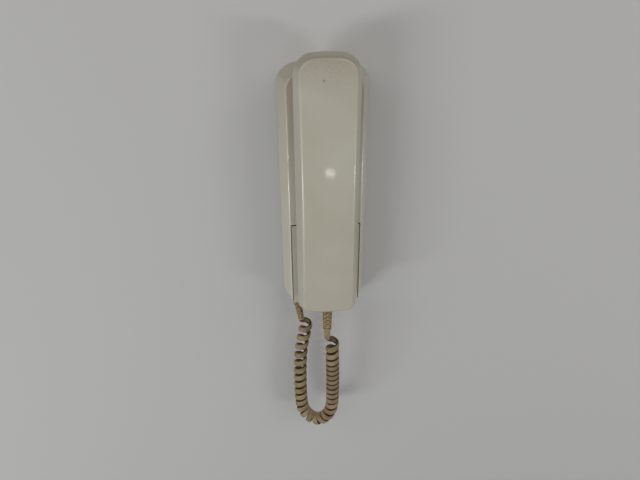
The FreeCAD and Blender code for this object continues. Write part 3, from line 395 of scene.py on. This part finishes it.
def agedAbs(name, look, skin):
    # injection-moulded ABS, yellowed unevenly: a satin skin with soft lights along its rounds, a few specks,
    # darker in patches towards the top, and dust and painted shade on what faces up
    material, tree, shader, coords = newMaterial(name, {"IOR": 1.54, "Coat Weight": look["gloss"],
                                                        "Coat Roughness": skin["coatRoughness"]})
    noises = {}
    for key, detail in (("patch", 5.0), ("topPatch", 3.0), ("speck", 2.0), ("wear", 6.0), ("grain", 2.0)):
        noises[key] = addNode(tree, "ShaderNodeTexNoise", {"Scale": 1000 / skin[key], "Detail": detail},
                              {"Vector": coords}).outputs["Fac"]
    colours = (srgb(look["yellowed"]), srgb(look["clean"]))
    base = addNode(tree, "ShaderNodeValToRGB", {"stops": list(zip(skin["patchStops"], colours))},
                   {"Fac": noises["patch"]}).outputs["Color"]
    axes = addNode(tree, "ShaderNodeSeparateXYZ", None, {"Vector": coords}).outputs
    # darker in patches towards the top
    low, high = look["darkeningHeights"]
    upper = addNode(tree, "ShaderNodeMapRange", {"From Min": low, "From Max": high},
                    {"Value": axes["Z"]}).outputs[0]
    topDarkening = addNode(tree, "ShaderNodeMath", {"operation": "MULTIPLY"},
                    {0: upper, 1: noises["topPatch"]}).outputs[0]
    low, high = skin["speckStops"]
    specks = addNode(tree, "ShaderNodeMapRange", {"From Min": low, "From Max": high},
                     {"Value": noises["speck"]}).outputs[0]
    # dust and painted shade: faces that look up are drawn darker
    facing = addNode(tree, "ShaderNodeNewGeometry").outputs["Normal"]
    upward = addNode(tree, "ShaderNodeSeparateXYZ", None, {"Vector": facing}).outputs["Z"]
    low, high = skin["dustAndShadeFacing"]
    dustAndShade = addNode(tree, "ShaderNodeMapRange",
                   {"From Min": low, "From Max": high, "To Max": skin["dustAndShadeMost"]},
                   {"Value": upward}).outputs[0]
    layers = [topDarkening, dustAndShade]
    # painted shade in the gate mark's hollow, in the soil colour
    if "gateMarkShade" in look:
        place, radius, most = (look["gateMarkShade"][key] for key in ("place", "radius", "most"))
        away = addNode(tree, "ShaderNodeVectorMath", {"operation": "DISTANCE", 1: place},
                       {0: coords}).outputs["Value"]
        layers.append(addNode(tree, "ShaderNodeMapRange",
                              {"From Min": radius, "From Max": radius / 2, "To Max": most},
                              {"Value": away}).outputs[0])
    dirtAndShade = specks
    for layer in layers:
        dirtAndShade = addNode(tree, "ShaderNodeMath", {"operation": "MAXIMUM"}, {0: dirtAndShade, 1: layer}).outputs[0]
    mixed = addNode(tree, "ShaderNodeMix", {"data_type": "RGBA", 7: srgb(look["soil"])}, {0: dirtAndShade, 6: base})
    # painted shade: the slot above the lower panel drawn near black
    if "seam" in look:
        (low, high), half, fade = (look["seam"][key] for key in ("heights", "halfWidth", "fade"))
        away = addNode(tree, "ShaderNodeMath", {"operation": "ABSOLUTE"}, {0: axes["X"]}).outputs[0]
        edges = []
        for value, outer, inner in ((axes["Z"], low, low + fade), (axes["Z"], high, high - fade),
                                    (away, half, half - fade)):
            edges.append(addNode(tree, "ShaderNodeMapRange", {"From Min": outer, "From Max": inner},
                                 {"Value": value}).outputs[0])
        slot = edges[0]
        for edge in edges[1:]:
            slot = addNode(tree, "ShaderNodeMath", {"operation": "MULTIPLY"}, {0: slot, 1: edge}).outputs[0]
        mixed = addNode(tree, "ShaderNodeMix", {"data_type": "RGBA", 7: srgb(look["seam"]["colour"])},
                        {0: slot, 6: mixed.outputs[2]})
    tree.links.new(mixed.outputs[2], shader.inputs["Base Color"])
    low, high = (look["roughness"] + change for change in skin["roughSpread"])
    rough = addNode(tree, "ShaderNodeMapRange", {"To Min": low, "To Max": high},
                    {"Value": noises["wear"]}).outputs[0]
    tree.links.new(rough, shader.inputs["Roughness"])
    bump = addNode(tree, "ShaderNodeBump", {"Strength": skin["bump"], "Distance": bumpDepth},
                   {"Height": noises["grain"]})
    tree.links.new(bump.outputs["Normal"], shader.inputs["Normal"])
    return material


plainSkin = {"shadeStops": (0.35, 0.65), "roughSpread": (-0.06, 0.08)}


def plainFinish(name, light, dark, grain, roughness, metallic=0.0, bumpStrength=0.1):
    # a hidden or small piece: two near shades, and roughness and bump that follow the grain, in millimetres
    material, tree, shader, coords = newMaterial(name, {"Metallic": metallic})
    noise = addNode(tree, "ShaderNodeTexNoise", {"Scale": 1000 / grain, "Detail": 3.0},
                    {"Vector": coords}).outputs["Fac"]
    stops = list(zip(plainSkin["shadeStops"], (srgb(dark), srgb(light))))
    shades = addNode(tree, "ShaderNodeValToRGB", {"stops": stops}, {"Fac": noise})
    tree.links.new(shades.outputs["Color"], shader.inputs["Base Color"])
    low, high = (roughness + change for change in plainSkin["roughSpread"])
    rough = addNode(tree, "ShaderNodeMapRange", {"To Min": low, "To Max": high}, {"Value": noise}).outputs[0]
    tree.links.new(rough, shader.inputs["Roughness"])
    bump = addNode(tree, "ShaderNodeBump", {"Strength": bumpStrength, "Distance": bumpDepth},
                   {"Height": noise})
    tree.links.new(bump.outputs["Normal"], shader.inputs["Normal"])
    return material


def coverNodes(material, names):
    for name in names:
        nodes[name].data.materials.clear()
        nodes[name].data.materials.append(material)


finishes = {  # light, dark, grain in millimetres, roughness, metallic and bump if any; then the nodes
    # dull moulded back, no clear reflection
    "mouldedAbsMatt": (("#a8a391", "#9f9985", 1.2, 0.55), ["base_rear_cover", "hook_plunger"]),
    # pale metal, a little cloudy
    "zincPlatedSteel": (("#b4b5b2", "#a9aaa7", 2.0, 0.40, 1.0),
                        ["wall_bracket", "base_screws", "panel_screw", "board_screws", "handset_screws",
                         "speaker_frame"]),
    # drawn bright, darker than the plating
    "springWire": (("#8f9192", "#77797b", 1.0, 0.32, 1.0), ["hook_spring"]),
    # brown board, flat and dry
    "paperLaminate": (("#9c7f4a", "#866a3a", 2.0, 0.55), ["circuit_board"]),
    # near black with a soft sheen
    "darkNylon": (("#2c2c2f", "#1d1d20", 1.0, 0.45), ["capacitors", "hook_switch", "receiver_capsule"]),
    # dark grey metal, dull from its scale
    "laminatedIron": (("#56575a", "#3b3c3f", 0.8, 0.5, 1.0), ["transformer_core", "speaker_magnet"]),
    # yellow film, smooth
    "windingTape": (("#c4a13c", "#a78428", 1.5, 0.4), ["transformer_coil"]),
    # off-white, soft edges of light
    "paleNylon": (("#d6d3c8", "#c6c2b5", 1.5, 0.5), ["terminal_block"]),
    # warm bright metal
    "turnedBrass": (("#c2a25a", "#a5853f", 0.8, 0.3, 1.0), ["terminal_screws"]),
    # black fibre, no shine
    "pressedPaper": (("#3a3a38", "#2a2a29", 0.6, 0.8, 0.0, 0.4), ["speaker_cone"]),
    # black, faint bloom
    "mouldedRubber": (("#2a2a2a", "#1b1b1b", 0.8, 0.7), ["receiver_gasket", "microphone_holder"]),
    # grey with dark pores
    "openFoam": (("#55554f", "#2f2f2c", 0.9, 0.9, 0.0, 0.8), ["receiver_pad"]),
    # light metal, smooth from the draw
    "drawnAluminium": (("#cfcfd0", "#b4b5b7", 1.2, 0.3, 1.0), ["microphone_capsule"]),
    # red insulation with a low gloss
    "leadPvc": (("#9a3a30", "#7f2c24", 1.5, 0.45), ["handset_leads"]),
}
coverNodes(agedAbs("mouldedAbsHandset", handsetLook, absSkin), ["handset_front_shell", "handset_rear_shell"])
coverNodes(agedAbs("mouldedAbsBase", baseLook, absSkin), ["base_front_cover", "lower_panel"])
for name, (looks, names) in finishes.items():
    coverNodes(plainFinish(name, *looks), names)
print("finishes set")

# strain reliefs: tapered PVC tails, cut by rows of short slots so that they bend with the cord
cordBoot = {
    "length": 0.022,
    "neckRadius": 0.0030,
    "collarRadius": 0.0040,
    "collarTop": 0.0040,  # above the housing's outside
    "collarLow": 0.0024,
    "gap": 0.0002,  # between the housing and the tail
    "shoulder": 0.0016,  # plain length above the slots
    "tip": 0.0024,  # and below them
    "rows": 9,
    "slotWidth": 0.0009,
    "slotDepth": 0.0011,
    "bridge": 0.0018,
    "edge": 0.00025,  # rounding of the ribs
    "sides": 28,
    "turn": 45.0,  # degrees from one row to the next
    "sharpFrom": 40.0,  # degrees between two faces
    "finish": ("#93805b", "#7a6746", 1.6, 0.5),  # light, dark, grain in millimetres, roughness
}
bootEnds = {  # where each tail leaves its housing, which way it points, and its two radii
    "base": {"place": (-0.0258, -0.0135, -0.103217), "way": (0.18218, -0.02617, -0.98292),
             "topRadius": 0.0035, "tipRadius": 0.0028},
    "handset": {"place": (0.0, -0.0390, -0.0988), "way": (0.0, 0.0, -1.0),
                "topRadius": 0.0043, "tipRadius": 0.0036},
}


def latheInto(shape, profile, sides):  # closed ring of (radius, height) points, poles merged
    angles = [math.tau * i / sides for i in range(sides)]
    rings = []
    for radius, height in profile:
        if radius == 0:
            rings.append([shape.verts.new((0, 0, height))] * sides)
        else:
            places = [(radius * math.cos(a), radius * math.sin(a), height) for a in angles]
            rings.append([shape.verts.new(place) for place in places])
    for near, far in zip(rings, rings[1:] + rings[:1]):
        for i in range(sides):
            j = (i + 1) % sides
            corners = list(dict.fromkeys((near[i], near[j], far[j], far[i])))
            if len(corners) > 2:
                shape.faces.new(corners)


def segmentMesh(sizes, pitch):  # one rib with the four bridges above it
    shape = bmesh.new()
    wide, edge, slot = sizes["topRadius"], sizes["edge"], sizes["slotWidth"]
    core = wide - sizes["slotDepth"] - edge
    latheInto(shape, [(core, -slot), (wide - edge, -slot), (wide, -slot - edge), (wide, -pitch + edge),
                      (wide - edge, -pitch), (core, -pitch)], sizes["sides"])
    for quarter in range(4):
        turn = Matrix.Rotation(math.pi / 2 * quarter, 4, "Z")
        size = Matrix.Diagonal((sizes["slotDepth"] + edge, sizes["bridge"], slot + 2 * edge, 1))
        place = Matrix.Translation((wide - edge - sizes["slotDepth"] / 2, 0, -slot / 2))
        bmesh.ops.create_cube(shape, size=1.0, matrix=turn @ place @ size)
    mesh = bpy.data.meshes.new("bootSegment")
    bmesh.ops.recalc_face_normals(shape, faces=shape.faces)
    shape.to_mesh(mesh)
    shape.free()
    return mesh


def segmentRows(sizes, mesh, pitch, material):  # geometry nodes repeat the segment down the tail
    tree = bpy.data.node_groups.new("bootRows", "GeometryNodeTree")
    sockets = tree.interface
    sockets.new_socket("Segment", in_out="INPUT", socket_type="NodeSocketGeometry")
    rows = sockets.new_socket("Rows", in_out="INPUT", socket_type="NodeSocketInt")
    step = sockets.new_socket("Pitch", in_out="INPUT", socket_type="NodeSocketFloat")
    taper = sockets.new_socket("Taper per row", in_out="INPUT", socket_type="NodeSocketFloat")
    turn = sockets.new_socket("Turn per row", in_out="INPUT", socket_type="NodeSocketFloat")
    sockets.new_socket("Ribs", in_out="OUTPUT", socket_type="NodeSocketGeometry")
    given = addNode(tree, "NodeGroupInput").outputs
    down = addNode(tree, "ShaderNodeMath", {"operation": "MULTIPLY", 1: -1.0}, {0: given["Pitch"]}).outputs[0]
    offset = addNode(tree, "ShaderNodeCombineXYZ", None, {"Z": down}).outputs[0]
    line = addNode(tree, "GeometryNodeMeshLine", None, {"Count": given["Rows"], "Offset": offset}).outputs[0]
    row = addNode(tree, "GeometryNodeInputIndex").outputs[0]
    angle = addNode(tree, "ShaderNodeMath", {"operation": "MULTIPLY"},
                    {0: row, 1: given["Turn per row"]}).outputs[0]
    spin = addNode(tree, "ShaderNodeCombineXYZ", None, {"Z": angle}).outputs[0]
    width = addNode(tree, "ShaderNodeMath", {"operation": "MULTIPLY_ADD", 2: 1.0},
                    {0: row, 1: given["Taper per row"]}).outputs[0]
    scale = addNode(tree, "ShaderNodeCombineXYZ", {"Z": 1.0}, {"X": width, "Y": width}).outputs[0]
    placed = addNode(tree, "GeometryNodeInstanceOnPoints", None,
                     {"Points": line, "Instance": given["Segment"],
                      "Rotation": spin, "Scale": scale}).outputs[0]
    solid = addNode(tree, "GeometryNodeRealizeInstances", None, {"Geometry": placed}).outputs[0]
    painted = addNode(tree, "GeometryNodeSetMaterial", {"Material": material}, {"Geometry": solid}).outputs[0]
    addNode(tree, "NodeGroupOutput", None, {"Ribs": painted})
    holder = linkObject("bootRows", mesh)
    modifier = holder.modifiers.new("bootRows", "NODES")
    modifier.node_group = tree
    modifier[rows.identifier] = sizes["rows"]
    modifier[step.identifier] = pitch
    modifier[taper.identifier] = (sizes["tipRadius"] / sizes["topRadius"] - 1) * pitch / sizes["length"]
    modifier[turn.identifier] = math.radians(sizes["turn"])
    ribs = plainMesh(holder)
    holder.modifiers.remove(modifier)
    bpy.data.objects.remove(holder)
    return ribs


def bootMesh(sizes, material):
    pitch = (sizes["length"] - sizes["tip"] - sizes["shoulder"]) / sizes["rows"]
    ribs = segmentRows(sizes, segmentMesh(sizes, pitch), pitch, material)
    wide, thin, long, gap = sizes["topRadius"], sizes["tipRadius"], sizes["length"], sizes["gap"]
    edge, slot, shoulder = sizes["edge"], sizes["slotDepth"], sizes["shoulder"]
    neck, collar = sizes["neckRadius"], sizes["collarRadius"]
    lower = long - sizes["tip"]
    tipWide = wide + (thin - wide) * lower / long
    shape = bmesh.new()
    shape.from_mesh(ribs)
    latheInto(shape, [
        (0, sizes["collarTop"]), (collar, sizes["collarTop"]), (collar, sizes["collarLow"]),
        (neck, sizes["collarLow"]), (neck, -gap), (wide - edge, -gap), (wide, -gap - edge),
        (wide, -shoulder + edge), (wide - edge, -shoulder), (wide - slot, -shoulder),
        (tipWide - slot, -lower), (tipWide - edge, -lower), (tipWide, -lower - edge),
        (thin, -long + 2 * edge), (thin - 2 * edge, -long), (0, -long),
    ], sizes["sides"])
    bmesh.ops.recalc_face_normals(shape, faces=shape.faces)
    mesh = bpy.data.meshes.new("cordBoot")
    shape.to_mesh(mesh)
    shape.free()
    mesh.polygons.foreach_set("use_smooth", [True] * len(mesh.polygons))
    mesh.set_sharp_from_angle(angle=math.radians(sizes["sharpFrom"]))
    mesh.materials.clear()
    mesh.materials.append(material)
    return mesh


# the cord's own PVC, satin from the mould
bootPvc = plainFinish("mouldedPvcBoot", *cordBoot["finish"])
for body, end in bootEnds.items():
    bootShape = bootMesh({**cordBoot, **end}, bootPvc)
    turn = Vector((0, 0, -1)).rotation_difference(Vector(end["way"])).to_matrix().to_4x4()
    bootShape.transform(Matrix.Translation(end["place"]) @ turn)
    boot = linkObject(body + "CordBoot", bootShape)
    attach(boot, body)
    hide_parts(body + "_cord_boot")
print("boots made")

# stage: a plain pale wall that shows only from the front, and soft lamps
stage = {
    "wallSize": 1.7,
    "wallGap": 0.0004,  # behind the object
    "wallColour": "#a9aaab",
    "wallRoughness": 0.85,
    "worldColour": "#e6e6e4",
    "worldStrength": 0.34,
    "lamps": {  # place, width and height in metres, power in watts, colour
        "keyLamp": ((-1.35, -1.2, 1.15), (2.4, 1.3), 14.0, "#fffaf2"),
        "fillLamp": ((1.2, -1.5, 1.10), (2.2, 1.2), 16.4, "#fff8ee"),
        "lowWindow": ((-1.15, -1.0, -0.456), (0.8, 0.207), 9.6, "#ffffff"),
        "farWindow": ((1.1, -1.05, -0.42), (0.5, 0.12), 4.0, "#ffffff"),
        "smallWindow": ((0.166, -1.587, -0.390), (0.110, 0.034), 0.54, "#ffffff"),
        "backLamp": ((0.3, 1.4, 0.6), (1.6, 1.6), 13.0, "#ffffff"),
    },
}


def makeWall(sizes):
    half, gap = sizes["wallSize"] / 2, sizes["wallGap"]
    mesh = bpy.data.meshes.new("wall")
    mesh.from_pydata([(-half, gap, -half), (half, gap, -half), (half, gap, half), (-half, gap, half)],
                     [], [(0, 1, 2, 3)])
    wall = linkObject("wall", mesh)
    # rolled matt paint: pale, with no shine
    material, tree, shader = newMaterial("mattPaint", {"Base Color": srgb(sizes["wallColour"]),
                                                       "Roughness": sizes["wallRoughness"]})[:3]
    back = addNode(tree, "ShaderNodeNewGeometry").outputs["Backfacing"]
    clear = addNode(tree, "ShaderNodeBsdfTransparent").outputs[0]
    either = addNode(tree, "ShaderNodeMixShader", None, {0: back, 1: shader.outputs[0], 2: clear})
    tree.links.new(either.outputs[0], tree.nodes["Material Output"].inputs["Surface"])
    mesh.materials.append(material)
    wall.visible_shadow = False  # so that the lamp behind it lights the object's back


def makeLamp(name, place, size, power, colour):
    data = bpy.data.lights.new(name, "AREA")
    data.shape = "RECTANGLE"
    data.size, data.size_y = size
    data.energy = power
    data.color = srgb(colour)[:3]
    lamp = linkObject(name, data)
    lamp.location = place
    lamp.rotation_euler = (-Vector(place)).to_track_quat("-Z", "Y").to_euler()


def lightWorld(sizes):
    world = bpy.data.worlds.new("world")
    scene.world = world
    world.use_nodes = True
    background = world.node_tree.nodes["Background"]
    background.inputs["Color"].default_value = srgb(sizes["worldColour"])
    background.inputs["Strength"].default_value = sizes["worldStrength"]


makeWall(stage)
for name, settings in stage["lamps"].items():
    makeLamp(name, *settings)
lightWorld(stage)
scene.view_settings.view_transform = "Standard"
print("stage lit")
